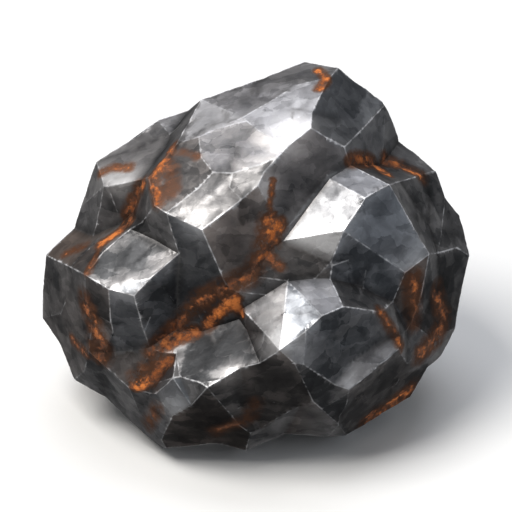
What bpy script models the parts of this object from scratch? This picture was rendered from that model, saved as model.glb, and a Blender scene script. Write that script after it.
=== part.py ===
"""Iron ore lump: one broken piece of massive ore, built as one faceted solid at its real size.

Its front is surveyed corner by corner, in millimetres right, up and near, as seen by someone who
looks down at it. The seams join corners into ridges and clefts, and the areas that they close are
the facets. Flat breaks shape the back, and one more is the base that the lump rests on.
"""

import math
import random

import bmesh
import bpy
import numpy as np
from mathutils import Matrix, Vector
from mathutils.geometry import delaunay_2d_cdt

MM = 0.001
LOOK_DOWN = math.radians(30)  # how steeply the survey looks down at the lump
BASE_DROP = 37.5  # the flat break underneath lies this far below the survey's centre
SEED = 11

# Flat facets are found by relaxation: each pass moves corners towards their facets' planes.
FLATTEN_PASSES = 400
FLATTEN_SHARE = 0.7
HOLD = (0.12, 0.12, 0.004)  # how firmly a corner keeps its surveyed right, up and near
HOLD_RIM = (1.0, 1.0, 0.08)

# Facets above each area are broken across and bent there: a little at the front, more at the back.
BREAK_AREA = (300.0, 130.0, 65.0)
FRONT_BEND = (0.12, 0.08, 0.05)
BACK_BEND = (1.6, 0.8, 0.35)
FRONT_WANDER = 0.1  # how far the ends of a break move, so that no edge is quite straight
BACK_WANDER_SHARE = 0.7  # the same at the back, as a share of the bend
BREAK_TURN = 0.5  # radians; how far a break may turn from square across the facet's longest edge
SHORTEST_CROSSED = 2.5  # a break crosses no edge that is shorter than this
CORNER_SHARE = 0.25  # and keeps this share of the edge's length away from its corners
KNEE_PLACE = (0.35, 0.65)  # where along the break its bend lies
KNEE_SHARE = (-0.5, 1.0)  # how much of the bend it has, mostly inwards
OUTLINE_MARGIN = 0.05  # how far outside the outline a break at the back stays

# The outline, clockwise from the upper left.
RIM = [
    (-39.5, 23.25, 15), (-29, 29.75, 15), (-24.25, 33.5, 14), (-16.75, 36, 14), (-13.5, 38.5, 19),
    (-0.25, 43.25, 16), (12, 48, 13), (20.25, 46.25, 16), (32, 37.5, 11), (35.75, 28.5, 5),
    (44.75, 21.25, 4), (47, 14.5, 4), (50.75, 9.75, 1), (53.25, 0, 1), (50.75, -10.5, 3),
    (49.5, -18, 4), (46, -24.75, 5), (42.5, -27.75, 7), (38.25, -35, 8), (22.25, -44.25, 14),
    (17.75, -44.5, 17), (6.75, -43.75, 18), (-2.5, -48, 17), (-9.75, -46.25, 19), (-22.25, -47.5, 15),
    (-26.5, -45, 13), (-37.25, -35, 8), (-45.25, -30.75, 4), (-48.5, -22, 3), (-53.25, -15.5, 0),
    (-53, -8.5, 4), (-52, 0.25, 10), (-45, 7, 9), (-43.25, 12.5, 9),
]

FRONT = {
    # the bright front edge of the crown and its right-hand ridge
    "lip": [
        (-27, 19.25, 33.5), (-25.75, 16, 36), (-24.5, 12, 38.2), (-21.5, 10.5, 40), (-14, 7, 43.3),
        (-3.75, 14, 42.2), (1.5, 16.75, 42), (2.75, 20, 40.6), (6, 23.5, 39), (7.25, 27.5, 36.8),
        (13.75, 31.75, 34.5), (14.25, 36.25, 31.5), (15.5, 40.75, 26.5), (17.5, 44.5, 21),
    ],
    # the top of the crown
    "roof": [
        (-19.75, 27.25, 30), (-14, 29.25, 30.5), (-10.25, 31, 28.5), (-3, 34, 26.2),
        (1.25, 31.75, 28.8), (-14, 24, 35), (-11, 19.5, 39.2), (-6.25, 19.25, 39.8), (1.5, 22, 38),
        (3.5, 26, 34.4), (10.5, 42.25, 23), (-14, 15.75, 39.9),
    ],
    # the left shoulder, below the crown
    "shoulder": [
        (-37.75, 17, 23), (-36.75, 16.25, 23.5), (-27.6, 19.4, 25), (-32.25, 21.75, 22.6),
        (-35.75, 19, 22.6), (-38.25, 19.5, 20), (-29.75, 26.5, 18.5), (-22, 30.5, 17.5),
        (-21.25, 27.25, 20.5), (-34.25, 11, 24.7), (-33.5, 7.5, 23.5), (-30.5, 11, 26),
        (-28.75, 14.75, 26), (-28.25, 8.5, 28),
    ],
    # the low ledge at the far left
    "ledge": [(-48.75, -0.75, 17.5), (-44, 1.75, 19), (-39.75, 5.5, 18.5)],
    # the left block, with a flat top that tips to the left
    "block": [
        (-45.75, -2.75, 22), (-41.75, -4.25, 27.5), (-36.5, -8.75, 34), (-30, -10.5, 38),
        (-25.75, -5.75, 37), (-19, 1.1, 37.5), (-26, 4.75, 30), (-30.5, 6.25, 26), (-33.75, 4.75, 25),
        (-38, 1.25, 25.3), (-32.25, -6.75, 35.6), (-41.5, 1.75, 21.5),
    ],
    # the dark front walls: two falling ridges and the break between them
    "wall": [(-9.5, -0.75, 39.3), (-20.75, -11.5, 33), (-27.5, -17.25, 33.5)],
    # the bottom of the great cleft, from the crown down to the left
    "cleft": [
        (3.5, 12.25, 35.5), (3.25, 8, 34.5), (1.5, 2.5, 33.5), (-1.5, -3.5, 33), (-6.5, -7, 34.5),
        (-12.75, -11, 31), (-20.25, -18, 29.5), (-25.25, -22.5, 29),
    ],
    # two low islands and the bank of the cleft
    "island": [
        (-19, -19.25, 29.8), (-16, -18, 30.5), (-13, -19, 32.3), (-16.5, -21.5, 31.5),
        (-11.25, -17.5, 32.5), (-7, -11.75, 33), (-4.75, -8.5, 33.8), (-4, -11.25, 34.5),
        (-4, -14.5, 34.5), (-7.75, -16, 33.5),
    ],
    # the wall right of the cleft, below the crown
    "flank": [
        (12, 25.25, 33.5), (10.25, 19, 33.5), (9.25, 12.75, 33.5), (7.5, 7, 33), (17.25, 20, 31.5),
        (11, 11.5, 32),
    ],
    # the facet at the upper right
    "cheek": [(22, 27.25, 30), (27.75, 32.5, 21), (23.75, 22.25, 31.8)],
    # the boss right of centre, with its bright left face
    "boss": [
        (18, 18.75, 35.5), (33, 17.5, 33.5), (27.25, 14.5, 38.3), (20, 6.5, 41.5), (7.5, 3.75, 37),
        (18.25, -1.25, 37.5), (43.25, 0.25, 26.5), (37.25, -3.75, 30), (32.75, -11.75, 26.3),
        (33.75, -1.25, 33),
    ],
    # the saddle between the boss and the toe, and the neck that runs on to the right
    "saddle": [
        (4, 2, 34), (1.5, -2.25, 33.5), (1.75, -5.25, 34.2), (18.75, -2.5, 35), (23.5, -7.25, 32),
        (30.5, -13.25, 30.5),
    ],
    # the toe, low at the front, with the second bright corner
    "toe": [
        (-3.25, -14.5, 38.5), (1.5, -8.75, 36.3), (7.25, -7, 37.2), (14.75, -4.75, 35.6),
        (18.5, -4.5, 34.5), (21.5, -12.5, 38.5), (17, -14.75, 40.5), (12, -18.1, 42), (6, -22.25, 44),
        (1.5, -18.75, 41.3),
    ],
    # the long ridge that falls from the toe to the lower right
    "keel": [(8.5, -25.5, 42), (12, -31, 38.5), (15, -35.25, 35.5), (16.5, -37.25, 34), (20.25, -42, 26.5)],
    # the steps on the toe's right side
    "step": [
        (32.25, -16, 30), (35.75, -19.75, 26.5), (36, -23.25, 24.5), (32, -26, 28.5), (30, -26, 30),
        (29, -29.25, 30), (23.5, -33.75, 34.5), (18.5, -30.5, 36.5), (11.75, -26.25, 39.5),
        (22.75, -25, 33.5), (32.25, -19.75, 30), (22.75, -36.25, 31.5), (21, -40, 27.5),
    ],
    # the lower right side
    "side": [
        (37.25, -26.5, 19), (36.5, -29.25, 17.5), (33.75, -32.5, 18.5), (28.5, -39.25, 15.5),
        (42.5, -22.25, 14), (38.5, -16.5, 18), (40.25, -11, 20), (36.25, -18.5, 19.5),
        (41.5, -14, 15), (45.25, -7.25, 12), (43.5, -20.25, 13.5), (44.5, 0.75, 15),
    ],
    # the right shoulder, behind the boss
    "wing": [
        (30.5, 23.25, 19.5), (35.25, 18.25, 21.5), (39.5, 19.25, 15.5), (41.75, 20.5, 12),
        (43.5, 14, 14), (42.5, 7.5, 16), (46, 5.75, 11), (50, 2.25, 8), (38, 22, 16),
    ],
    # the lower left side
    "skirt": [
        (-35.75, -14.75, 30.5), (-34, -23.25, 27), (-39.75, -17.25, 25.5), (-41.5, -11.75, 25.5),
        (-45.25, -6.75, 20.5), (-48.5, -14.25, 14.5), (-47, -20.25, 16), (-41.5, -23.25, 20.5),
        (-37.75, -24, 24), (-38.25, -27, 24), (-34.5, -29.25, 27), (-31.5, -32.5, 28),
        (-42.25, -28.75, 13.5), (-29, -38, 23.5), (-21.75, -42, 32), (-23.75, -45.75, 21),
    ],
    # the rusty wedge in the cleft's lower end
    "wedge": [
        (-26.5, -25, 28), (-23.25, -23.5, 29), (-19.5, -23.75, 30.5), (-21.25, -26.5, 31),
        (-25, -31, 31), (-26, -32.75, 30), (-20.5, -30, 29.5), (-24.25, -34.25, 31),
    ],
    # the heel, left of the toe, and the blue step under it
    "heel": [
        (-18.5, -28.75, 35.5), (0.5, -25, 38.5), (-4, -28.25, 39.5), (-8.25, -31.5, 40),
        (-11.75, -32.75, 39.5), (-13.5, -31.25, 38.5), (-2.25, -18.25, 35.8), (-20.75, -40, 35.5),
        (-15.5, -37.25, 36.8), (-4, -34.25, 34.5),
    ],
    # the dark foot, down to the outline
    "foot": [
        (-4, -42.25, 29.5), (-1.5, -43.75, 26.5), (0.5, -42, 29), (4.75, -39.75, 30.5), (11, -37.75, 33),
    ],
}

FRONT_SEAMS = """
lip1 lip2 lip3 lip4 lip5 lip6 lip7 lip8 lip9 lip10 lip11 lip12 lip13 lip14 rim8
lip1 roof1 rim5 roof4
roof1 roof2 roof3 roof4 roof11
rim6 roof11 lip14
roof4 roof5 lip10
roof5 lip12
roof3 roof6 roof7 roof8 roof9 roof10 roof5
roof2 roof6 lip3
lip4 roof12 roof7
roof9 lip9
lip11 cheek1 cheek2 rim9
lip12 cheek2
cheek1 cheek3 wing1 rim10
rim9 wing1
shoulder6 shoulder1 shoulder2 shoulder3 lip1
shoulder1 shoulder5 shoulder4 shoulder3 shoulder9 roof1
rim1 shoulder6 shoulder5
rim1 shoulder7 shoulder8 rim4
shoulder7 shoulder4
rim3 shoulder8 shoulder9
shoulder3 shoulder13 shoulder12 shoulder11 shoulder10 shoulder2
shoulder11 ledge3 shoulder1 rim34
lip3 shoulder14 shoulder12 block8 block9 shoulder11
shoulder14 block7
shoulder14 block8
lip4 block6
lip5 block6
rim32 ledge1 ledge2 ledge3 rim33
ledge1 block1
ledge2 block12
block1 block2 block3 block4 block5 block6 block7 block8
block9 block10 block2
block3 block11 block5
block1 block12 block9
lip5 wall1 cleft5
block6 wall2 cleft7
block4 wall3 cleft8
lip7 cleft1 cleft2 cleft3 cleft4 cleft5 cleft6 cleft7 cleft8
lip11 flank1 flank2 flank3 flank4 cleft2
cheek3 flank5 flank6 flank4 boss5
flank5 boss1
cheek3 boss1 boss3 boss2 cheek3
boss1 boss5 boss6 boss4 boss3
boss4 boss5 saddle1 cleft3
boss4 boss10 boss8 boss7 boss2
boss10 boss7
boss8 boss9 saddle5 saddle4 boss6
saddle1 saddle2 saddle3 toe3
saddle2 cleft4
saddle4 toe5 saddle5
saddle6 boss9
toe1 toe2 toe3 toe4 toe5 toe6 toe7 toe8 toe9 toe10 toe1
toe3 toe9
toe3 toe7
toe6 saddle6
cleft8 wedge2 island1 cleft7
cleft8 wedge1 wedge2 wedge3 wedge4 wedge5 wedge6 skirt12 wedge1
island1 island2 island3 island4 wedge3 wedge7 wedge8 wedge6
island3 island5 island6 island7 island8 island9 island10 island5
cleft6 island5
cleft5 island7 saddle3
island7 toe2
island9 toe1
island9 heel7 toe10
heel7 heel2 toe9
heel2 heel3 heel4 heel5 heel6 heel1 island4
heel1 wedge7
wedge8 heel8 heel9 heel5
heel3 heel10 heel4
toe9 keel1 keel2 keel3 keel4 keel5 rim20
keel1 step9 step8 step7 step12 step13 keel5
toe8 step9
saddle6 step1 step2 step3 step4 step5 step6 step7
step8 step10 step5
step10 step11 step2
boss9 side8 step2
side8 side6 side7 boss7
side7 side9 side6
step3 side1 side2 side3 side4 rim20
side2 rim18
step6 side3
step13 rim20
side1 side5 rim17
side6 side11 side9 side10 side12 boss7
side10 rim15
side10 rim16 side11 side5
side6 side1
side12 wing8 rim14
wing1 wing9 wing3 wing2 wing1
wing9 wing4 rim11
wing2 boss2
wing4 wing5 wing6 side12
wing3 wing4
wing2 wing6 wing7 rim12
wing7 wing8
block3 skirt1 skirt2 cleft8
block2 skirt4 skirt3 skirt9 skirt2
block1 skirt5 skirt4
ledge1 skirt6 skirt5
rim30 skirt6 skirt7 rim29
skirt7 skirt8 skirt3
skirt8 skirt10 skirt9
skirt10 skirt11 skirt12 skirt14 rim26
skirt8 skirt13 rim28
skirt10 rim27
wedge8 skirt14 skirt16
heel8 skirt15 skirt16 rim25
heel9 rim24
heel5 foot1 foot2 rim23
heel10 foot3 foot2
foot3 foot4 foot5 keel3
foot5 rim22
keel5 rim21
"""

# Which way the main facets look, each one named by some of its corners: degrees towards the
# observer's right from straight ahead, then degrees above level.
AIMS = {
    "lip5 lip6 roof12": (-26, 52), "roof6 lip4 roof12": (-52, 56), "roof6 roof8 roof4": (8, 76),
    "lip2 roof6 roof2": (-55, 60), "roof1 roof3 rim5": (-45, 76), "roof11 rim6 rim5": (-15, 78),
    "roof5 lip13 roof11": (-20, 72), "roof5 lip10 lip12": (-14, 42), "roof9 lip9 lip10": (-22, 44),
    "lip13 cheek2 rim8": (52, 34), "lip12 cheek1 cheek2": (40, 30), "cheek1 cheek3 cheek2": (62, 16),
    "cheek3 cheek1 flank6": (22, 14), "lip8 flank2 cleft1": (32, 14), "wall1 lip6 cleft2": (28, 4),
    "wall1 block6 cleft6": (-14, 2), "lip5 wall1 block6": (-22, -4), "block6 lip4 block7": (-40, -4),
    "boss1 boss3 boss5": (-26, 50), "boss1 boss3 boss2": (14, 70), "boss3 boss2 boss7": (44, 22),
    "boss4 boss5 boss6": (-6, 26), "boss4 boss10 boss6": (14, 0), "boss10 boss8 boss7": (45, 34),
    "toe9 toe10 toe1": (-40, 54), "toe9 toe3 toe8": (-26, 42), "toe3 toe7 toe5": (50, 64),
    "toe6 saddle6 boss9": (42, 40), "step2 step5 step10": (6, 54), "step5 step7 step8": (-12, 52),
    "toe6 step10 step1": (34, 8), "boss7 boss8 side8": (52, 4), "block6 block8 block3": (-38, 57),
    "block3 block4 block5": (-26, 60), "block4 wall3 block3": (-24, -4), "block4 block5 wall3": (24, 2),
    "heel3 heel6 island3": (-44, 62), "heel5 heel9 wedge7": (-30, 18), "wedge1 wedge3 wedge6": (-16, 28),
    "skirt2 skirt9 skirt12": (-28, 22), "skirt3 skirt2 block2": (-40, 0), "ledge1 ledge3 rim33": (-58, 58),
    "shoulder2 shoulder3 shoulder4": (-18, 50), "shoulder1 shoulder6 shoulder5": (-40, 60),
    "shoulder7 shoulder3 shoulder9": (-50, 64), "shoulder2 shoulder12 shoulder11": (-26, 6),
    "wing4 wing5 wing7": (50, 42), "wing9 wing4 rim11": (40, 64), "toe9 heel2 keel2": (-16, -12),
    "keel1 step9 step12": (34, -4), "heel10 foot1 heel5": (4, -10), "cleft2 saddle1 boss5": (34, 24),
    "island7 saddle3 cleft4": (24, 34), "island1 cleft7 wedge2": (20, 40),
}

# The back starts as a rough block behind the outline, and flat breaks take its corners off.
BLOCK_DEPTH = 52.0
BLOCK_TAPER = 0.96
BULK = (53.0, 47.5, 43.0)  # half sizes right, up and back that the breaks are measured against

# Each break: bearing round the outline (0 right, 90 up), lean towards the back (0 faces sideways,
# 90 straight back), both in degrees, and how much of the bulk's radius it leaves.
BREAKS = [
    (5, 24, 0.96), (38, 30, 0.95), (74, 22, 0.97), (108, 34, 0.94), (146, 24, 0.97), (178, 32, 0.95),
    (214, 22, 0.97), (246, 32, 0.95), (282, 26, 0.96), (322, 32, 0.95),
    (20, 58, 0.93), (66, 52, 0.90), (128, 60, 0.93), (170, 54, 0.90), (228, 56, 0.94), (296, 60, 0.92),
    (345, 50, 0.93), (90, 82, 0.93), (200, 78, 0.92), (330, 80, 0.94),
]


def named_corners(groups):
    """Name to corner, such as lip1, from each group's list."""
    return {
        f"{group}{number}": corner
        for group, corners in groups.items()
        for number, corner in enumerate(corners, 1)
    }


def seam_pairs(seams):
    """The pairs of names that each line of seams joins."""
    pairs = []
    for line in seams.split("\n"):
        names = line.split()
        pairs += zip(names, names[1:])
    return pairs


def surveyed_sheet():
    """Names, corners and facets of the front; a facet is the corner numbers round a closed area."""
    corners = {f"rim{number}": corner for number, corner in enumerate(RIM, 1)} | named_corners(FRONT)
    names = list(corners)
    number = {name: index for index, name in enumerate(names)}
    rim = list(range(len(RIM)))
    edges = list(zip(rim, rim[1:] + rim[:1]))
    edges += [(number[a], number[b]) for a, b in seam_pairs(FRONT_SEAMS)]
    flat = [Vector(corners[name][:2]) for name in names]
    whole_facets = 4
    placed, _, facets, came_from, _, _ = delaunay_2d_cdt(flat, edges, [rim], whole_facets, 1e-4)
    if [list(source) for source in came_from] != [[index] for index in range(len(names))]:
        raise ValueError("two seams cross, or two corners share a place")
    points = np.array([corners[name] for name in names], float)
    return names, points, [list(facet) for facet in facets]


def direction(aim):
    """The unit vector of an aim, in the survey's directions."""
    turn, rise = (math.radians(angle) for angle in aim)
    sine, cosine = math.sin(LOOK_DOWN), math.cos(LOOK_DOWN)
    level = math.cos(turn) * math.cos(rise)
    return np.array([
        math.sin(turn) * math.cos(rise),
        math.sin(rise) * cosine - level * sine,
        level * cosine + math.sin(rise) * sine,
    ])


def aimed_facets(names, facets):
    """Facet number to its direction, for each facet that has an aim."""
    directions = {}
    for corners, aim in AIMS.items():
        wanted = {names.index(name) for name in corners.split()}
        (found,) = [number for number, facet in enumerate(facets) if wanted <= set(facet)]
        directions[found] = direction(aim)
    return directions


def flattened(points, facets, directions):
    """The same corners, moved so that each facet is close to a plane.

    A corner gives way mostly towards the observer, and corners on the outline hardly at all.
    """
    start = points.copy()
    hold = np.tile(HOLD, (len(points), 1))
    hold[:len(RIM)] = HOLD_RIM
    for _ in range(FLATTEN_PASSES):
        moved = np.zeros_like(points)
        count = np.zeros((len(points), 1))
        for number, facet in enumerate(facets):
            spread = points[facet] - points[facet].mean(axis=0)
            normal = directions[number] if number in directions else np.linalg.svd(spread)[2][2]
            moved[facet] -= np.outer(spread @ normal, normal)
            count[facet] += 1
        points = points + FLATTEN_SHARE * moved / count
        points += hold * (start - points)
    return points


def rough_block():
    """The front and a plain block behind it, as one closed bmesh in the survey's millimetres."""
    names, points, facets = surveyed_sheet()
    points = flattened(points, facets, aimed_facets(names, facets))
    points = flattened(points, facets, {})
    shape = bmesh.new()
    front = [shape.verts.new(point) for point in points]
    for facet in facets:
        shape.faces.new([front[index] for index in facet])
    rim = front[:len(RIM)]
    back = [
        shape.verts.new((corner.co.x * BLOCK_TAPER, corner.co.y * BLOCK_TAPER, -BLOCK_DEPTH))
        for corner in rim
    ]
    for index in range(len(rim)):
        after = (index + 1) % len(rim)
        shape.faces.new([rim[index], rim[after], back[after], back[index]])
    shape.faces.new(back)
    bmesh.ops.recalc_face_normals(shape, faces=shape.faces)
    return shape


def cut_flat(shape, normal, distance):
    """Takes off what lies beyond a plane and closes the cut with one flat facet."""
    everything = [*shape.verts, *shape.edges, *shape.faces]
    bmesh.ops.bisect_plane(
        shape, geom=everything, dist=1e-4, plane_co=normal * distance, plane_no=normal, clear_outer=True
    )
    bmesh.ops.holes_fill(shape, edges=[edge for edge in shape.edges if edge.is_boundary])
    bmesh.ops.recalc_face_normals(shape, faces=shape.faces)


def break_back(shape):
    """Makes the breaks at the back; none of them reaches the outline."""
    rim = [vert.co.copy() for vert in shape.verts[:len(RIM)]]
    for bearing, lean, leaves in BREAKS:
        around, back = math.radians(bearing), math.radians(lean)
        sideways = math.cos(back)
        normal = Vector((math.cos(around) * sideways, math.sin(around) * sideways, -math.sin(back)))
        reach = Vector(half * share for half, share in zip(BULK, normal)).length
        outline = max(normal.dot(corner) for corner in rim)
        cut_flat(shape, normal, max(reach * leaves, outline + OUTLINE_MARGIN))


def touches_front(corner):
    """Whether one of the facets round a corner faces the observer."""
    return any(facet.normal.z > 0 for facet in corner.link_faces)


def break_facet(shape, facet, draw, bend):
    """Splits one facet across its middle, bends it there and moves the ends of the break."""
    normal = facet.normal.copy()
    middle = facet.calc_center_median()
    longest = max(facet.edges, key=lambda edge: edge.calc_length())
    along = (longest.verts[1].co - longest.verts[0].co).normalized()
    cut = Matrix.Rotation(draw.uniform(-BREAK_TURN, BREAK_TURN), 3, normal) @ along
    crossed = []
    for edge in facet.edges:
        first, last = ((vert.co - middle).dot(cut) for vert in edge.verts)
        if first * last < 0 and edge.calc_length() > SHORTEST_CROSSED:
            share = min(max(first / (first - last), CORNER_SHARE), 1 - CORNER_SHARE)
            crossed.append((edge, share))
    if len(crossed) != 2:
        return
    ends = []
    for edge, share in crossed:
        _, corner = bmesh.utils.edge_split(edge, edge.verts[0], share)
        ends.append(corner)
    halves = bmesh.utils.face_split(facet, ends[0], ends[1])
    if halves is None or halves[1] is None:
        return
    seam = next(edge for edge in ends[0].link_edges if edge.other_vert(ends[0]) is ends[1])
    _, knee = bmesh.utils.edge_split(seam, ends[0], draw.uniform(*KNEE_PLACE))
    knee.co -= normal * bend * draw.uniform(*KNEE_SHARE)
    for corner in ends:
        wander = FRONT_WANDER if touches_front(corner) else bend * BACK_WANDER_SHARE
        corner.co += Vector([draw.uniform(-wander, wander) for _ in range(3)])


def broken(shape):
    """Breaks the wide facets, level by level, so that none is a perfect plane."""
    draw = random.Random(SEED)
    for area, front_bend, back_bend in zip(BREAK_AREA, FRONT_BEND, BACK_BEND):
        for facet in [facet for facet in shape.faces if facet.calc_area() > area]:
            break_facet(shape, facet, draw, front_bend if facet.normal.z > 0 else back_bend)
        shape.normal_update()
    bmesh.ops.triangulate(shape, faces=shape.faces, quad_method="BEAUTY", ngon_method="BEAUTY")


def in_room(point):
    """A surveyed point, turned from the observer's directions to the room's, in metres."""
    right, up, near = point
    sine, cosine = math.sin(LOOK_DOWN), math.cos(LOOK_DOWN)
    return Vector((right, up * sine - near * cosine, up * cosine + near * sine)) * MM


def ore_material():
    """Massive ore: dark steel grey with a half-metallic lustre."""
    material = bpy.data.materials.new("massive_ore")
    material.use_nodes = True
    surface = material.node_tree.nodes["Principled BSDF"]
    surface.inputs["Base Color"].default_value = (0.075, 0.077, 0.082, 1)
    surface.inputs["Metallic"].default_value = 0.8
    surface.inputs["Roughness"].default_value = 0.4
    return material


def ore_lump():
    """The lump as one object, standing on its base with its box centred on the origin."""
    shape = rough_block()
    break_back(shape)
    broken(shape)
    down = Vector((0, -math.cos(LOOK_DOWN), -math.sin(LOOK_DOWN)))
    cut_flat(shape, down, BASE_DROP)
    for vert in shape.verts:
        vert.co = in_room(vert.co)
    places = np.array([vert.co for vert in shape.verts])
    low, high = places.min(axis=0), places.max(axis=0)
    centre = Vector(((low[0] + high[0]) / 2, (low[1] + high[1]) / 2, low[2]))
    for vert in shape.verts:
        vert.co -= centre
    bmesh.ops.triangulate(shape, faces=shape.faces)
    bmesh.ops.recalc_face_normals(shape, faces=shape.faces)
    mesh = bpy.data.meshes.new("ore_lump")
    shape.to_mesh(mesh)
    shape.free()
    mesh.materials.append(ore_material())
    lump = bpy.data.objects.new("ore_lump", mesh)
    bpy.context.scene.collection.objects.link(lump)
    return lump


def main():
    for old in list(bpy.data.objects):
        bpy.data.objects.remove(old)
    ore_lump()


main()
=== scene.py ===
"""The look of the iron ore lump: its broken metallic surface, its rust, and a plain studio."""

import math
import random

import bmesh
import bpy
import numpy as np
from mathutils import Matrix, Vector, kdtree, noise
from mathutils.bvhtree import BVHTree


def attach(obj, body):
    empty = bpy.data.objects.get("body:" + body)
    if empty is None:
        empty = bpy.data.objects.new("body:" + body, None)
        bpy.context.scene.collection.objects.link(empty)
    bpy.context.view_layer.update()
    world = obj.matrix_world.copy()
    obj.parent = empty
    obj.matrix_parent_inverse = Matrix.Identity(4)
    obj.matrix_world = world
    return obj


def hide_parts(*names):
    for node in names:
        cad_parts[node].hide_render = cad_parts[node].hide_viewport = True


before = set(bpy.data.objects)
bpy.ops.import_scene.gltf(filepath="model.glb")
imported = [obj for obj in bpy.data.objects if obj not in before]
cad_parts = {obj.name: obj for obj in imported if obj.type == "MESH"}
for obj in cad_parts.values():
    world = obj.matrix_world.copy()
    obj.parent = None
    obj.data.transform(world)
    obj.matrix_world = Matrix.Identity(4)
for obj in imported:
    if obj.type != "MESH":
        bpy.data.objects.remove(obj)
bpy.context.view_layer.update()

MM = 0.001

# The lump's front was surveyed in millimetres right, up and near, looking down at it.
LOOK_DOWN = math.radians(30)
RIGHT = Vector((1, 0, 0))
UP = Vector((0, math.sin(LOOK_DOWN), math.cos(LOOK_DOWN)))
NEAR = Vector((0, -math.cos(LOOK_DOWN), math.sin(LOOK_DOWN)))
CENTRE_HEIGHT = 37.5  # the survey's centre above the base
OUTLINE_TOP = 48.0  # the highest point of the outline above the survey's centre
WELL_IN_FRONT = 200  # a distance near, clear of the lump, that the front is looked at from

# The camera, in millimetres: a long lens, so that near and far facets keep their places.
PICTURE_WIDTH = 126.5
LENS = 500.0
SENSOR = 36.0
SHARP_NEAR = 15.0  # how far in front of the centre the picture's scale is exact

# The studio: sizes in metres, and how strongly the walls light each kind of surface.
PAPER_HALF = 6.0
SOFTBOX_DISTANCE = 0.8
WALLS_IN_GLOSS = 0.13
WALLS_MORE_ON_MATT = 0.15
WALLS_MORE_TO_EYE = 0.85

# The fine mesh, in millimetres.
MESH_STEP = 1.5  # edges longer than this are cut again
RIDGE_STEP = 0.7  # and beside a ridge, edges longer than this
CUT_ROUNDS = 6

# The fracture's relief. Sizes, depths and reaches are in millimetres.
PLATE_SIZE = 5.0  # flat steps of the fracture, each tilted a little
PLATE_SLOPE = 0.022  # how steep the tilts are
PLATE_SCATTER = 7.3  # spreads the plates' places apart, so that neighbours tilt differently
SWELL_SIZE = 9.0  # slow waves of the fracture
SWELL_DEPTH = 0.12
CHIP_SIZE = 3.0  # chips along the sharper ridges
CHIP_DEPTH = 0.3
CHIP_REACH = 0.9
CHIP_GAIN = 2.2  # the higher this is, the more of the chips reach their full depth
CHIP_PLACES = Vector((9, 4, 2))  # moves the chips' pattern off the waves'
CHIPPED_FOLD = 28  # degrees; only ridges sharper than this are chipped

# Folds: ridges and clefts. Reaches are in millimetres and folds in degrees.
SOFTEST_FOLD = 6  # what is blunter is neither a ridge nor a cleft
SOFTEST_WEIGHT = 0.7  # how much such a fold counts
FOLD_RISE = 60  # each degree sharper adds one over this, up to 1 in all
LEVEL_WEAR_AND_LIGHT = 0.8  # how much a ridge that faces level counts: its wear, and the painted highlight on its line and sheen
UPWARD_WEAR_AND_LIGHT = 0.4  # how much more if it faces up, or less if it faces down: a painted light and shade
LEAST_WEAR_AND_LIGHT = 0.65
FOLD_STEP = 0.5  # samples along a fold are this far apart
FOLD_NEIGHBOURS = 6  # how many samples each place looks at
RIDGE_REACH = 0.6  # worn line along a ridge, partly a painted highlight
SHEEN_REACH = 6.0  # painted sheen, a pale band beside a ridge
CLEFT_REACH = 3.0

# Tones of facets and patches.
SHADE_REACH = 11.0  # millimetres from a named facet's place
SHADE_KEENNESS = 250  # how closely a place must face a facet's way to share its shade
PLAIN_WEIGHT = 0.05  # keeps places far from every named facet at a plain, middle shade
SAME_PATCH = math.radians(3)  # triangles that meet flatter than this are one patch
SEED = 5
# How much each stored tone lightens the ore: painted light and shade on facets, random patches, painted
# sheen beside ridges and painted highlights on corners.
LIGHT_AND_TONE_SHARES = {"bright": 0.2, "patch": 0.08, "glow": 0.08, "rubbed": 0.28}

# Rust. Sizes and steps are in millimetres.
RUN_STEP = 0.6  # samples along a rust run are this far apart
RUN_NEIGHBOURS = 4
VEIN_SIZE = 17.0  # how far apart rust runs lie on the sides that the front doesn't show
VEIN_THINNESS = 7.0
VEIN_ONSET = 3  # how fast the runs set in as a side turns away from the front
VEIN_SPREAD = 0.8  # the runs come and go on a scale a little wider than their own
VEIN_GAIN = 4  # how suddenly they come and go
VEIN_PLACES = Vector((5, 1, 7))  # moves where they come and go off the runs' own pattern

# Surface patterns. Sizes and depths are in millimetres. The ore's real grain, about 0.2 mm, is
# finer than a render can show, so its grains, flakes and tooth are drawn as coarse as they need to be.
CLOUD_SIZE = 7
PATCH_SIZE = 4.5
GRAIN_SIZE = 2
PATCH_SHARE = 0.3  # how much the patches and the grains add to the clouds
GRAIN_SHARE = 0.2
PATCH_LENGTH = 2  # patches are this many times as long to the side as they are high
PATTERN_TURN = math.radians(25)  # turns the patches' pattern, so that they don't lie in rows
WORN_WAVE_SIZE = 2.5  # waves that wear the patches' edges out of straight
WORN_WAVE_DEPTH = 2.4
FLAKE_SIZE = 2.6  # flakes that break up the worn lines and the rust
SCALE_SIZE = 1.6  # scales of the rust crust, light and dark
TOOTH_SIZE = 0.9  # the broken grain's bump
TOOTH_DEPTH = 0.1
DARKEST_CLOUD = 0.42  # how pale the clouds are, from 0 for the darkest grey to 1 for the palest
PALEST_CLOUD = 0.65
ORE_METALLIC = 0.8  # half-metallic
SMOOTHEST_ORE = 0.33  # roughness
COARSEST_ORE = 0.42
RUST_ROUGHNESS = 0.3  # added to the ore's own
PAPER_CLOUD_SIZE = 40  # the paper's faint uneven tone
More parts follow.
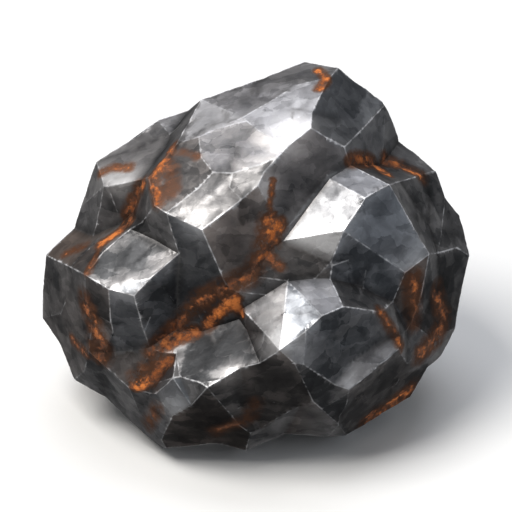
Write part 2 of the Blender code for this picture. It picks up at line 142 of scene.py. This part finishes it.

# How each facet is shaded and tinted: its place on the front, right and up, how bright it is (about
# -1 to 1, a painted light and shade), and how brown it is (-1 for the blue of fresh magnetite, 1 for a
# brown film).
FACET_SHADES = {
    "crown lip": (-6, 16.8, 0.0, 0.0),
    "crown right facet": (9.3, 31.3, 0.4, 0.0),
    "crown face": (-4.8, 26, -0.1, 0.1),
    "crown top left": (-12, 32, 0.5, 0.0),
    "crown top middle": (-1.5, 39.5, 0.1, 0.1),
    "crown top right": (9.3, 38.3, 0.4, 0.0),
    "crown left edge": (-20.8, 21.3, -1.1, 0.4),
    "crown left corner": (-17, 16.5, -0.8, 0.3),
    "boss left face": (18.3, 10.8, 0.2, -0.4),
    "boss top": (25.5, 18.3, 0.1, -0.2),
    "boss right face": (31.5, 7.5, -0.1, -0.8),
    "boss lower left": (15.3, 3, 1.1, 0.0),
    "boss lower face": (26.5, -3, -0.1, -0.3),
    "boss right corner": (37.8, -1.5, 0.2, 0.0),
    "toe middle": (10.5, -15.5, 0.3, -0.8),
    "toe left": (2.8, -14.3, 0.4, -0.2),
    "toe right": (15.8, -8.8, 0.0, -0.1),
    "heel top": (-9.3, -23.8, -0.4, 0.0),
    "toe right wall": (23.5, -19.8, -0.4, -0.1),
    "lower step": (24.8, -29, 0.8, 0.2),
    "right step": (31.5, -23.3, 0.6, 0.2),
    "block top": (-31.5, -0.8, -1.1, 0.0),
    "block front corner": (-31.3, -7.3, 0.4, -0.6),
    "front wall right": (-2.8, 5.5, -0.2, 0.6),
    "front wall middle": (-14.5, -6, -0.6, -0.3),
    "block front right": (-24, -11.8, -0.6, -0.3),
    "block front left": (-31.8, -15.8, -0.5, -0.5),
    "shoulder lit facet": (-34, 18.8, 1.0, 0.0),
    "shoulder top": (-26.5, 24.8, 0.1, 0.1),
    "shoulder wall": (-32, 13.5, -0.3, 0.1),
    "crown left wall": (-18, 5.8, -0.3, -0.5),
    "far ledge": (-46, 2.5, 0.2, 0.8),
    "cheek": (21.3, 39.5, 0.4, -0.7),
    "cheek lower": (27, 28.3, 0.1, -0.4),
    "flank": (14, 19.8, -0.2, 0.4),
    "wing": (44.3, 14, 0.1, 0.0),
    "saddle": (10.3, -2.5, -0.3, 0.3),
    "right brown face": (38, -10.3, -0.4, 0.9),
    "heel step": (-17.8, -33.3, 0.8, -1.0),
    "lower skirt": (-32.5, -26, 0.0, 0.4),
    "left skirt": (-38.3, -14.8, -0.1, 0.4),
    "toe front": (5, -32.3, -0.7, 0.5),
    "keel right": (17, -33.8, -0.6, 0.0),
    "left end": (-49, -8.5, -0.1, 0.1),
    "left end foot": (-45, -18.5, -0.2, 0.4),
    "right end": (49.8, -3.5, -0.3, 0.0),
    "right end foot": (46, -13.5, -0.5, 0.4),
    "right foot": (31, -36, -0.5, 0.4),
    "lower left foot": (-24, -41, -0.3, -0.3),
    "heel front": (-4.8, -37.5, -0.7, 0.3),
    "foot": (-6.5, -42, -0.5, 0.8),
    "wedge": (-24.8, -28, 0.2, 0.5),
}

# Painted highlights on high places and corners, each with its place, its reach in millimetres and its
# strength:
# 1 is bright, and the brightest corners have more.
PAINTED_HIGHLIGHT_SPOTS = {
    "crown front corner": (-14, 8.5, 4.5, 1.4),
    "crown right corner": (1.5, 17.5, 6.0, 0.9),
    "crown upper right": (9, 29, 7.0, 1.0),
    "crown lip": (-6, 13.5, 4.0, 0.4),
    "shoulder edge": (-33, 18.5, 5.0, 0.9),
    "boss edge": (13, 7, 7.0, 1.0),
    "boss face": (20, 10, 6.0, 0.5),
    "block edge": (-22, -2, 4.0, 0.9),
    "block corner": (-32, -8, 4.5, 0.9),
    "toe corner": (6.5, -20, 5.0, 1.3),
    "toe face": (9, -14, 6.0, 0.4),
    "heel edge": (-6, -29.5, 5.0, 0.8),
    "step corner": (23, -32, 4.0, 0.4),
    "boss right corner": (39, -0.5, 4.5, 0.5),
    "heel step": (-19, -37, 4.0, 0.4),
}

# Rust runs, each with its width, its strength and its way over the front, right and up. All but
# the strength are in millimetres.
RUST_RUNS = {
    "crown right wall": (1.2, 1.0, [(4.2, 18.5), (3.4, 13), (3.6, 9)]),
    "cleft top": (3.6, 1.1, [(5.2, 7.5), (3.5, 3.5)]),
    "great cleft": (4.2, 0.7, [(3.3, 9.5), (1.5, 0.3), (-1.5, -4.8), (-6.5, -7.3), (-14, -11)]),
    "cleft foot": (3.4, 0.75, [(-14, -11.5), (-20.3, -17.3), (-25.8, -23.3)]),
    "lower island": (2.6, 1.6, [(-22.5, -22), (-19, -20), (-14.5, -18.6)]),
    "upper island": (2.4, 1.6, [(-12, -17), (-8.5, -13.2), (-5, -10.5)]),
    "island tip": (1.8, 1.5, [(-5.5, -11.5), (-3.5, -14.2)]),
    "cleft flecks": (2.2, 0.8, [(1.5, 2.5), (3.5, -0.5), (5.8, -2.5)]),
    "shoulder cleft": (3.0, 1.0, [(-27.5, 18.3), (-30.3, 12.3), (-31.8, 8.3)]),
    "shoulder patch": (2.8, 1.5, [(-31, 8.5), (-33.5, 6), (-37.8, 3.2)]),
    "block strip": (2.0, 0.8, [(-37.8, 2.5), (-41.5, -4)]),
    "ledge flecks": (2.4, 0.65, [(-47, 0.5), (-42, 2.5)]),
    "shoulder flecks": (2.4, 0.7, [(-38.5, 20.5), (-35, 22), (-31, 21.8)]),
    "crown edge": (2.6, 1.05, [(-20.5, 27), (-25.3, 19), (-24, 12.8)]),
    "crown fold": (1.8, 0.55, [(-18, 25.5), (-14.5, 24.3)]),
    "crown flecks": (4.0, 0.55, [(-21.5, 22), (-21, 16)]),
    "slab edge": (2.2, 1.4, [(-29.5, -32), (-25.5, -30.5), (-21, -25.5)]),
    "slab": (3.0, 0.6, [(-30, -29.5), (-23.5, -25.5)]),
    "left skirt": (5.0, 0.75, [(-42, -11), (-40, -17.3), (-38, -24)]),
    "left foot": (2.6, 0.85, [(-45.3, -21), (-42, -24)]),
    "heel stain": (3.0, 0.55, [(-24, -37), (-27, -42)]),
    "toe foot": (3.4, 0.5, [(-10, -43), (-2, -40), (0, -36)]),
    "top crack": (1.9, 1.35, [(15.3, 45.8), (17.3, 43.5), (15.5, 41)]),
    "boss top": (3.2, 1.15, [(23.5, 23.5), (27.3, 23.5), (31.8, 20.5)]),
    "wing top": (3.6, 1.0, [(31.8, 23.5), (37.3, 21.5), (41, 20)]),
    "step edge": (2.4, 0.8, [(30.5, -13.3), (33.5, -18), (36, -22.3)]),
    "right side": (5.0, 0.8, [(44.5, -9), (46.5, -15), (45, -20), (41, -24)]),
    "right foot": (5.0, 0.85, [(28, -40.5), (33, -37.5), (38, -33.5)]),
    "brown face": (4.5, 0.65, [(38.5, -6), (39, -11), (39, -16)]),
}


def linear(colour):
    """An sRGB hex colour, such as #8a3e12, as linear red, green, blue and alpha."""
    parts = [int(colour[place:place + 2], 16) / 255 for place in (1, 3, 5)]
    return [part / 12.92 if part <= 0.04045 else ((part + 0.055) / 1.055) ** 2.4 for part in parts] + [1]


def add_node(tree, kind, settings=None, links=None):
    """Adds a shader node, sets its inputs, properties or ramp stops, and links outputs to its inputs."""
    node = tree.nodes.new(kind)
    for name, value in (settings or {}).items():
        if name == "stops":
            stops = node.color_ramp.elements
            while len(stops) < len(value):
                stops.new(0.5)
            for stop, (place, colour) in zip(stops, value):
                stop.position = place
                stop.color = linear(colour)
        elif isinstance(name, int) or name in node.inputs:
            node.inputs[name].default_value = value
        else:
            setattr(node, name, value)
    for name, output in (links or {}).items():
        tree.links.new(output, node.inputs[name])
    return node


def new_material(name):
    """A material with an empty tree and a Principled shader on its output."""
    material = bpy.data.materials.new(name)
    material.use_nodes = True
    tree = material.node_tree
    tree.nodes.clear()
    shader = add_node(tree, "ShaderNodeBsdfPrincipled")
    add_node(tree, "ShaderNodeOutputMaterial", links={"Surface": shader.outputs["BSDF"]})
    return material, tree, shader


def link_to_scene(name, data):
    """A new object of this name and data, in the scene."""
    thing = bpy.data.objects.new(name, data)
    bpy.context.scene.collection.objects.link(thing)
    return thing


class Survey:
    """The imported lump's own facets, and the way from the survey's millimetres to the room."""

    def __init__(self, node):
        self.shape = bmesh.new()
        self.shape.from_mesh(node.data)
        bmesh.ops.remove_doubles(self.shape, verts=self.shape.verts, dist=1e-6)
        self.shape.normal_update()
        self.shape.faces.ensure_lookup_table()
        self.tree = BVHTree.FromBMesh(self.shape)
        # the centre is placed so that the outline's top is as far above it as was surveyed
        highest = max(vert.co.dot(UP) for vert in self.shape.verts)
        rise = highest - OUTLINE_TOP * MM
        height = CENTRE_HEIGHT * MM
        self.centre = Vector((0, (rise - height * UP.z) / UP.y, height))

    def point(self, right, up, near):
        """A place in the survey's millimetres, in the room."""
        return self.centre + (RIGHT * right + UP * up + NEAR * near) * MM

    def on_front(self, right, up):
        """The place on the front that is seen at right and up, and the way it faces there."""
        place, facing, _, _ = self.tree.ray_cast(self.point(right, up, WELL_IN_FRONT), -NEAR)
        return place, facing


def search_tree(samples):
    """A tree that finds the samples near a point; each sample starts with its place."""
    tree = kdtree.KDTree(len(samples))
    for index, sample in enumerate(samples):
        tree.insert(sample[0], index)
    tree.balance()
    return tree


def is_wide(edge, ridge_tree):
    """Whether an edge is still too long for where it lies."""
    length = edge.calc_length()
    if length < RIDGE_STEP * MM:
        return False
    first, last = (vert.co for vert in edge.verts)
    return length > MESH_STEP * MM or ridge_tree.find((first + last) / 2)[2] < RIDGE_REACH * MM


def fine_mesh(survey, ridges):
    """The lump's own facets, cut into small triangles that keep every ridge."""
    ridge_tree = search_tree(ridges)
    shape = survey.shape.copy()
    for _ in range(CUT_ROUNDS):
        wide = [edge for edge in shape.edges if is_wide(edge, ridge_tree)]
        bmesh.ops.subdivide_edges(shape, edges=wide, cuts=1, use_single_edge=True)
        bmesh.ops.triangulate(shape, faces=[face for face in shape.faces if len(face.verts) > 3])
    mesh = bpy.data.meshes.new("ore_surface")
    shape.to_mesh(mesh)
    shape.free()
    return mesh


def fold_samples(shape, sign, softest):
    """Points along the ridges (sign 1) or the clefts (sign -1) that aren't softer than the softest.

    Each has how much its fold counts: a ridge that faces down counts for less, which puts painted shade
    on its pale line and its sheen and makes its chips shallower.
    """
    samples = []
    for edge in shape.edges:
        angle = math.degrees(edge.calc_face_angle_signed(0)) * sign
        if angle < softest:
            continue
        weight = min(SOFTEST_WEIGHT + (angle - SOFTEST_FOLD) / FOLD_RISE, 1)
        if sign > 0:
            upward = sum(face.normal.z for face in edge.link_faces) / 2
            weight *= min(max(LEVEL_WEAR_AND_LIGHT + UPWARD_WEAR_AND_LIGHT * upward, LEAST_WEAR_AND_LIGHT), 1)
        first, last = (vert.co for vert in edge.verts)
        count = max(2, round((last - first).length / (FOLD_STEP * MM)))
        samples += [(first.lerp(last, step / count), weight) for step in range(count + 1)]
    return samples


def nearness(points, samples, reach):
    """For each point, a sample's weight on the sample, falling to 0 at the reach."""
    tree = search_tree(samples)
    found = np.zeros(len(points))
    for number, point in enumerate(points):
        for _, index, distance in tree.find_n(point, FOLD_NEIGHBOURS):
            found[number] = max(found[number], samples[index][1] * (1 - distance / (reach * MM)))
    return found


def patch_tones(survey, points):
    """A tone from -1 to 1 for each point, the same all over a patch of triangles that meet flat."""
    draw = random.Random(SEED)
    tones = {}
    for start in survey.shape.faces:
        if start.index in tones:
            continue
        tones[start.index] = draw.uniform(-1, 1)
        waiting = [start]
        while waiting:
            face = waiting.pop()
            flat = [edge for edge in face.edges if edge.calc_face_angle(0) < SAME_PATCH]
            for other in {other for edge in flat for other in edge.link_faces}:
                if other.index not in tones:
                    tones[other.index] = tones[start.index]
                    waiting.append(other)
    return [tones[survey.tree.find_nearest(point)[2]] for point in points]


def facet_shades(survey, points, normals):
    """Painted light and shade, and brownness, of each point, from the facets near it that face its way.
    """
    places = np.array(points)
    facings = np.array(normals)
    shades = np.zeros((len(points), 2))
    total = np.full((len(points), 1), PLAIN_WEIGHT)
    for right, up, *shade in FACET_SHADES.values():
        place, facing = survey.on_front(right, up)
        apart = np.linalg.norm(places - place, axis=1) / (SHADE_REACH * MM)
        alike = np.clip(facings @ np.array(facing), 0, 1) ** SHADE_KEENNESS
        weight = (np.exp(-apart ** 2) * alike)[:, None]
        shades += weight * shade
        total += weight
    return (shades / total).T


def rubbed(survey, points):
    """How much painted highlight each point has, from the spots near it."""
    places = np.array(points)
    found = np.zeros(len(points))
    for right, up, reach, strength in PAINTED_HIGHLIGHT_SPOTS.values():
        place, _ = survey.on_front(right, up)
        apart = np.linalg.norm(places - place, axis=1) / (reach * MM)
        found = np.maximum(found, strength * np.exp(-apart ** 2))
    return found


def rust_samples(survey):
    """Points along the rust runs, each with the run's strength and width."""
    samples = []
    for width, strength, way in RUST_RUNS.values():
        for start, end in zip(way, way[1:]):
            count = max(2, round(math.dist(start, end) / RUN_STEP))
            for share in np.linspace(0, 1, count):
                place, _ = survey.on_front(*(np.array(start) * (1 - share) + np.array(end) * share))
                samples.append((place, strength, width))
    return samples


def front_rust(survey, points):
    """How much of the front's rust runs lies on each point."""
    samples = rust_samples(survey)
    tree = search_tree(samples)
    found = np.zeros(len(points))
    for number, point in enumerate(points):
        for _, index, distance in tree.find_n(point, RUN_NEIGHBOURS):
            _, strength, width = samples[index]
            found[number] = max(found[number], strength * (1 - distance / (width * MM)))
    return found


def hidden_rust(point, normal):
    """Rust on the sides that aren't seen from the front: a few meandering runs like the front's."""
    away = min(max(-normal.dot(NEAR) * VEIN_ONSET, 0), 1)
    scaled = point / (VEIN_SIZE * MM)
    vein = max(1 - abs(noise.noise(scaled)) * VEIN_THINNESS, 0)
    here = min(max(noise.noise(scaled * VEIN_SPREAD + VEIN_PLACES) * VEIN_GAIN, 0), 1)
    return away * vein * here


def plate_relief(point):
    """Small flat plates that each tilt their own way, in millimetres."""
    scaled = point / (PLATE_SIZE * MM)
    _, centres = noise.voronoi(scaled)
    tilt = noise.cell_vector(centres[0] * PLATE_SCATTER) * 2 - Vector((1, 1, 1))
    return (scaled - centres[0]).dot(tilt) * PLATE_SIZE * PLATE_SLOPE


def relief(point, chipped):
    """How far the surface stands out at a point, in millimetres: plates, waves and chipped ridges."""
    height = plate_relief(point)
    height += noise.noise(point / (SWELL_SIZE * MM)) * SWELL_DEPTH
    chip = noise.noise(point / (CHIP_SIZE * MM) + CHIP_PLACES)
    return height - min(max(chip * CHIP_GAIN, 0), 1) * chipped * CHIP_DEPTH


def dressed_lump(node):
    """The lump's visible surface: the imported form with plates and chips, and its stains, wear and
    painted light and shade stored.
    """
    survey = Survey(node)
    ridges = fold_samples(survey.shape, 1, SOFTEST_FOLD)
    clefts = fold_samples(survey.shape, -1, SOFTEST_FOLD)
    mesh = fine_mesh(survey, ridges)
    points = [vert.co.copy() for vert in mesh.vertices]
    normals = [vert.normal.copy() for vert in mesh.vertices]
    # painted light and shade on the facets, and their brownness
    bright, brown = facet_shades(survey, points, normals)
    hidden = [hidden_rust(point, normal) for point, normal in zip(points, normals)]
    stains_and_painted_light = {
        "ridge": nearness(points, ridges, RIDGE_REACH),
        # painted sheen beside the ridges
        "glow": nearness(points, ridges, SHEEN_REACH),
        # painted highlights on the brightest corners
        "rubbed": rubbed(survey, points),
        "patch": patch_tones(survey, points),
        "cleft": nearness(points, clefts, CLEFT_REACH),
        "rust": np.maximum(front_rust(survey, points), hidden),
        "bright": bright,
        "brown": brown,
    }
    for name, values in stains_and_painted_light.items():
        attribute = mesh.attributes.new(name, "FLOAT", "POINT")
        attribute.data.foreach_set("value", np.asarray(values, np.float32))
    chipped = nearness(points, fold_samples(survey.shape, 1, CHIPPED_FOLD), CHIP_REACH)
    for vert, point, normal, share in zip(mesh.vertices, points, normals, chipped):
        vert.co = point + normal * relief(point, share) * MM
        vert.co.z = max(vert.co.z, 0)
    mesh.shade_smooth()
    mesh.set_sharp_from_angle(angle=math.radians(SOFTEST_FOLD))
    return survey, link_to_scene("ore_surface", mesh)


def clouds_and_grain(tree, place):
    """How pale the ore is: soft clouds, and in them angular patches and grains with worn edges.

    Also gives the patches' and the grains' own tones, for the rust and the relief.
    """
    clouds = add_node(
        tree, "ShaderNodeTexNoise",
        {"Scale": 1 / (CLOUD_SIZE * MM), "Detail": 6, "Roughness": 0.58, "Distortion": 0.5},
        {"Vector": place},
    ).outputs["Fac"]
    waves = add_node(
        tree, "ShaderNodeTexNoise", {"Scale": 1 / (WORN_WAVE_SIZE * MM), "Detail": 3}, {"Vector": place}
    ).outputs["Color"]
    bent_place = add_node(
        tree, "ShaderNodeVectorMath", {"operation": "MULTIPLY_ADD", 1: (WORN_WAVE_DEPTH * MM,) * 3},
        {0: waves, 2: place},
    ).outputs[0]
    drawn_out = add_node(
        tree, "ShaderNodeMapping", {"Rotation": (0, PATTERN_TURN, 0), "Scale": (1 / PATCH_LENGTH, 1, 1)},
        {"Vector": bent_place},
    ).outputs[0]
    tones = []
    pale = clouds
    for size, share in ((PATCH_SIZE, PATCH_SHARE), (GRAIN_SIZE, GRAIN_SHARE)):
        cells = add_node(
            tree, "ShaderNodeTexVoronoi", {"Scale": 1 / (size * MM)}, {"Vector": drawn_out}
        ).outputs["Color"]
        tone = add_node(tree, "ShaderNodeSeparateColor", links={0: cells}).outputs[0]
        pale = add_node(
            tree, "ShaderNodeMath", {"operation": "MULTIPLY_ADD", 1: share}, {0: tone, 2: pale}
        ).outputs[0]
        tones.append(tone)
    pale = add_node(
        tree, "ShaderNodeMapRange",
        {"From Min": 0.42, "From Max": 1.05, "To Min": DARKEST_CLOUD, "To Max": PALEST_CLOUD},
        {"Value": pale},
    ).outputs[0]
    return pale, *tones


def steel_grey_and_painted_light(tree, pale, stains_and_painted_light):
    """The ore's colour: dark to light steel grey, bluer or browner from facet to facet, with painted
    light and shade, painted sheen and painted highlights added to its own tones.
    """
    # painted light and shade, painted sheen and painted highlights lighten or darken the grey, as do the
    # random patches
    for name, share in LIGHT_AND_TONE_SHARES.items():
        pale = add_node(
            tree, "ShaderNodeMath", {"operation": "MULTIPLY_ADD", 1: share}, {0: stains_and_painted_light[name], 2: pale}
        ).outputs[0]
    colour = add_node(
        tree, "ShaderNodeValToRGB",
        {"stops": [
            (0.25, "#242629"), (0.45, "#4b4c4e"), (0.60, "#807f80"), (0.80, "#bbb9b9"), (1.0, "#f2f1f1"),
        ]},
        {"Fac": pale},
    ).outputs["Color"]
    # the blue of fresh magnetite, and a brown film
    for full, most, tint in ((-1, 0.45, "#a9c6e0"), (1, 0.8, "#c7a284")):
        tinted = add_node(
            tree, "ShaderNodeMapRange", {"From Min": 0, "From Max": full, "To Max": most},
            {"Value": stains_and_painted_light["brown"]},
        ).outputs[0]
        colour = add_node(
            tree, "ShaderNodeMix", {"data_type": "RGBA", "blend_type": "MULTIPLY", 7: linear(tint)},
            {0: tinted, 6: colour},
        ).outputs[2]
    return colour


def worn_and_highlit_ridges(tree, colour, ridge, flakes):
    """Ridges worn pale and painted with a highlight, a thin line which flakes break up; also gives how
    strong that line is at each place.
    """
    worn = add_node(tree, "ShaderNodeMath", {"operation": "MULTIPLY"}, {0: ridge, 1: flakes}).outputs[0]
    worn = add_node(
        tree, "ShaderNodeMapRange", {"From Min": 0.2, "From Max": 0.52, "To Max": 0.8}, {"Value": worn}
    ).outputs[0]
    # the pale line: worn powder, partly a painted highlight
    colour = add_node(
        tree, "ShaderNodeMix", {"data_type": "RGBA", 7: linear("#e2e3e6")}, {0: worn, 6: colour}
    ).outputs[2]
    return colour, worn


def rust_flakes(tree, place, amount, patch_tone):
    """The crust's colour: dark brown at its edges, and orange flakes where it is thickest."""
    scales = add_node(
        tree, "ShaderNodeTexNoise", {"Scale": 1 / (SCALE_SIZE * MM), "Detail": 3, "Roughness": 0.6},
        {"Vector": place},
    ).outputs["Fac"]
    tone = scales
    for value, share in ((patch_tone, 0.2), (amount, 0.25)):
        tone = add_node(
            tree, "ShaderNodeMath", {"operation": "MULTIPLY_ADD", 1: share}, {0: value, 2: tone}
        ).outputs[0]
    return add_node(
        tree, "ShaderNodeValToRGB",
        {"stops": [(0.56, "#4a2a15"), (0.72, "#77401b"), (0.86, "#a0561f"), (1.0, "#cc7532")]},
        {"Fac": tone},
    ).outputs["Color"]


def rusted(tree, place, colour, run, flakes, patch_tone, grain):
    """Rust along its runs: a brown film, and in the middle of it a crust of orange-brown flakes.

    Also gives how much rust hides the metal.
    """
    ragged = add_node(
        tree, "ShaderNodeMapRange", {"From Min": 0.36, "From Max": 0.64, "To Min": 0.2, "To Max": 1.2},
        {"Value": flakes},
    ).outputs[0]
    ragged = add_node(
        tree, "ShaderNodeMath", {"operation": "MULTIPLY_ADD", 1: 0.5}, {0: grain, 2: ragged}
    ).outputs[0]
    amount = add_node(tree, "ShaderNodeMath", {"operation": "MULTIPLY"}, {0: run, 1: ragged}).outputs[0]
    film = add_node(
        tree, "ShaderNodeMapRange", {"From Min": 0.04, "From Max": 0.45, "To Max": 0.9}, {"Value": amount}
    ).outputs[0]
    thin_film = add_node(tree, "ShaderNodeMath", {"operation": "MULTIPLY", 1: 0.7}, {0: film}).outputs[0]
    colour = add_node(
        tree, "ShaderNodeMix", {"data_type": "RGBA", "blend_type": "MULTIPLY", 7: linear("#b98562")},
        {0: film, 6: colour},
    ).outputs[2]
    colour = add_node(
        tree, "ShaderNodeMix", {"data_type": "RGBA", 7: linear("#613a20")}, {0: thin_film, 6: colour}
    ).outputs[2]
    crust = add_node(
        tree, "ShaderNodeMapRange", {"From Min": 0.5, "From Max": 0.85}, {"Value": amount}
    ).outputs[0]
    colour = add_node(
        tree, "ShaderNodeMix", {"data_type": "RGBA"},
        {0: crust, 6: colour, 7: rust_flakes(tree, place, amount, patch_tone)},
    ).outputs[2]
    cover = add_node(
        tree, "ShaderNodeMath", {"operation": "MULTIPLY_ADD", 1: 0.5}, {0: film, 2: crust}
    ).outputs[0]
    return colour, cover


def shaded_clefts(tree, colour, cleft):
    """Painted shade, which darkens the colour deep in the clefts."""
    dim = add_node(
        tree, "ShaderNodeMapRange", {"From Min": 0.2, "From Max": 1.0, "To Max": 0.6}, {"Value": cleft}
    ).outputs[0]
    return add_node(
        tree, "ShaderNodeMix", {"data_type": "RGBA", 7: linear("#161311")}, {0: dim, 6: colour}
    ).outputs[2]


def metal_share(tree, highlight, worn, rust):
    """How metallic the surface is: rust isn't, nor are the pale lines on ridges (worn, partly painted
    highlight) or the painted highlights on corners, so that these stay pale under any light.
    """
    powder = add_node(
        tree, "ShaderNodeMath", {"operation": "MULTIPLY_ADD", 1: 0.1}, {0: highlight, 2: worn}
    ).outputs[0]
    covered = add_node(tree, "ShaderNodeMath", {"operation": "MAXIMUM"}, {0: rust, 1: powder}).outputs[0]
    return add_node(
        tree, "ShaderNodeMapRange", {"To Min": ORE_METALLIC, "To Max": 0.0}, {"Value": covered}
    ).outputs[0]


def roughness(tree, pale, rust):
    """Pale clouds are the smoothest breaks, dark ones coarser, and rust is matt."""
    bare = add_node(
        tree, "ShaderNodeMapRange",
        {
            "From Min": DARKEST_CLOUD, "From Max": PALEST_CLOUD,
            "To Min": COARSEST_ORE, "To Max": SMOOTHEST_ORE,
        },
        {"Value": pale},
    ).outputs[0]
    return add_node(
        tree, "ShaderNodeMath", {"operation": "MULTIPLY_ADD", 1: RUST_ROUGHNESS}, {0: rust, 2: bare}
    ).outputs[0]


def grain_bumps(tree, place, grain):
    """The broken grain, as a slight bump."""
    fine = add_node(
        tree, "ShaderNodeTexNoise", {"Scale": 1 / (TOOTH_SIZE * MM), "Detail": 3, "Roughness": 0.6},
        {"Vector": place},
    ).outputs["Fac"]
    height = add_node(
        tree, "ShaderNodeMath", {"operation": "MULTIPLY_ADD", 1: 0.6}, {0: grain, 2: fine}
    ).outputs[0]
    return add_node(
        tree, "ShaderNodeBump", {"Strength": 0.3, "Distance": TOOTH_DEPTH * MM}, {"Height": height}
    ).outputs["Normal"]


def broken_massive_ore():
    """Massive hematite and magnetite, broken: steel-grey facets with a half-metallic lustre.

    Breaking leaves planes that gleam like dull steel, each with cloudy patches of coarser grain.
    Worn ridges are paler, partly a painted highlight. The facets carry painted light and shade, the
    corners painted highlights, the ridges a painted sheen and the clefts painted shade.
    Damp has left a crust of rust in the clefts, matt and orange-brown.
    """
    material, tree, shader = new_material("broken_massive_ore")
    place = add_node(tree, "ShaderNodeTexCoord").outputs["Object"]
    # stored stains and wear, with painted light and shade, painted sheen, painted highlights and the
    # clefts' painted shade
    stains_and_painted_light = {
        name: add_node(tree, "ShaderNodeAttribute", {"attribute_name": name}).outputs["Fac"]
        for name in ("ridge", "glow", "rubbed", "patch", "cleft", "rust", "bright", "brown")
    }
    flakes = add_node(
        tree, "ShaderNodeTexNoise", {"Scale": 1 / (FLAKE_SIZE * MM), "Detail": 6, "Roughness": 0.72},
        {"Vector": place},
    ).outputs["Fac"]
    pale, patch_tone, grain = clouds_and_grain(tree, place)
    colour = steel_grey_and_painted_light(tree, pale, stains_and_painted_light)
    colour, worn = worn_and_highlit_ridges(tree, colour, stains_and_painted_light["ridge"], flakes)
    colour, rust = rusted(tree, place, colour, stains_and_painted_light["rust"], flakes, patch_tone, grain)
    colour = shaded_clefts(tree, colour, stains_and_painted_light["cleft"])
    tree.links.new(colour, shader.inputs["Base Color"])
    tree.links.new(metal_share(tree, stains_and_painted_light["rubbed"], worn, rust), shader.inputs["Metallic"])
    tree.links.new(roughness(tree, pale, rust), shader.inputs["Roughness"])
    tree.links.new(grain_bumps(tree, place, grain), shader.inputs["Normal"])
    return material


def seamless_paper():
    """Seamless paper, calendered: pale white with no gloss, and faintly uneven in tone."""
    material, tree, shader = new_material("seamless_paper")
    place = add_node(tree, "ShaderNodeTexCoord").outputs["Object"]
    tone = add_node(
        tree, "ShaderNodeTexNoise", {"Scale": 1 / (PAPER_CLOUD_SIZE * MM), "Detail": 2}, {"Vector": place}
    ).outputs["Fac"]
    colour = add_node(
        tree, "ShaderNodeValToRGB", {"stops": [(0.3, "#f9f9f8"), (0.7, "#fcfcfb")]}, {"Fac": tone}
    ).outputs["Color"]
    tree.links.new(colour, shader.inputs["Base Color"])
    shader.inputs["Roughness"].default_value = 0.9
    shader.inputs["Specular IOR Level"].default_value = 0.1
    return material


def floor():
    """Pale paper under and behind the lump; its glare doesn't reach the lump's underside."""
    mesh = bpy.data.meshes.new("ground")
    corners = [(x * PAPER_HALF, y * PAPER_HALF, 0) for x, y in ((-1, -1), (1, -1), (1, 1), (-1, 1))]
    mesh.from_pydata(corners, [], [(0, 1, 2, 3)])
    mesh.materials.append(seamless_paper())
    ground = link_to_scene("ground", mesh)
    ground.visible_glossy = False


def softbox(name, turn, rise, size, watts, colour):
    """A soft light, metres wide and high, that faces the lump.

    It stands at a turn from the front to the right, and at a rise, both in degrees.
    """
    light = bpy.data.lights.new(name, "AREA")
    light.shape = "RECTANGLE"
    light.size, light.size_y = size
    light.energy = watts
    light.color = linear(colour)[:3]
    box = link_to_scene(name, light)
    turn, rise = math.radians(turn), math.radians(rise)
    towards = Vector((math.sin(turn) * math.cos(rise), -math.cos(turn) * math.cos(rise), math.sin(rise)))
    box.location = Vector((0, 0, CENTRE_HEIGHT * MM)) + towards * SOFTBOX_DISTANCE
    box.rotation_euler = towards.to_track_quat("Z", "Y").to_euler()


def studio_walls():
    """Far pale walls: white to the camera, a soft light on paper and rust, and dark in the gloss."""
    world = bpy.data.worlds.new("studio_walls")
    world.use_nodes = True
    tree = world.node_tree
    tree.nodes.clear()
    rays = add_node(tree, "ShaderNodeLightPath").outputs
    soft = add_node(
        tree, "ShaderNodeMath", {"operation": "MULTIPLY_ADD", 1: WALLS_MORE_ON_MATT, 2: WALLS_IN_GLOSS},
        {0: rays["Is Diffuse Ray"]},
    ).outputs[0]
    strength = add_node(
        tree, "ShaderNodeMath", {"operation": "MULTIPLY_ADD", 1: WALLS_MORE_TO_EYE},
        {0: rays["Is Camera Ray"], 2: soft},
    ).outputs[0]
    walls = add_node(tree, "ShaderNodeBackground", {"Color": linear("#f4f5f7")}, {"Strength": strength})
    add_node(tree, "ShaderNodeOutputWorld", links={"Surface": walls.outputs[0]})
    bpy.context.scene.world = world


def studio():
    """Soft light: a key high on the front left, a panel overhead behind, and a faint cool fill."""
    softbox("key_softbox", -62, 60, (0.42, 0.42), 6.0, "#fffcf8")
    softbox("top_panel", 170, 66, (0.7, 0.5), 2.6, "#f4f7ff")
    softbox("right_fill", 60, 12, (0.9, 1.0), 0.75, "#cfdff2")
    studio_walls()


def camera(survey):
    """The camera on the survey's line of sight, at the distance that gives the picture's width."""
    data = bpy.data.cameras.new("camera")
    data.lens = LENS
    data.sensor_width = SENSOR
    eye = link_to_scene("camera", data)
    away = PICTURE_WIDTH * LENS / SENSOR + SHARP_NEAR
    turned = Matrix((RIGHT, UP, NEAR)).transposed().to_4x4()
    eye.matrix_world = Matrix.Translation(survey.point(0, 0, away)) @ turned
    bpy.context.scene.camera = eye


def main():
    survey, surface = dressed_lump(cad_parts["ore_lump"])
    surface.data.materials.clear()
    surface.data.materials.append(broken_massive_ore())
    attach(surface, "root")
    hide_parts("ore_lump")
    floor()
    studio()
    camera(survey)
    bpy.context.scene.view_settings.view_transform = "Standard"


main()
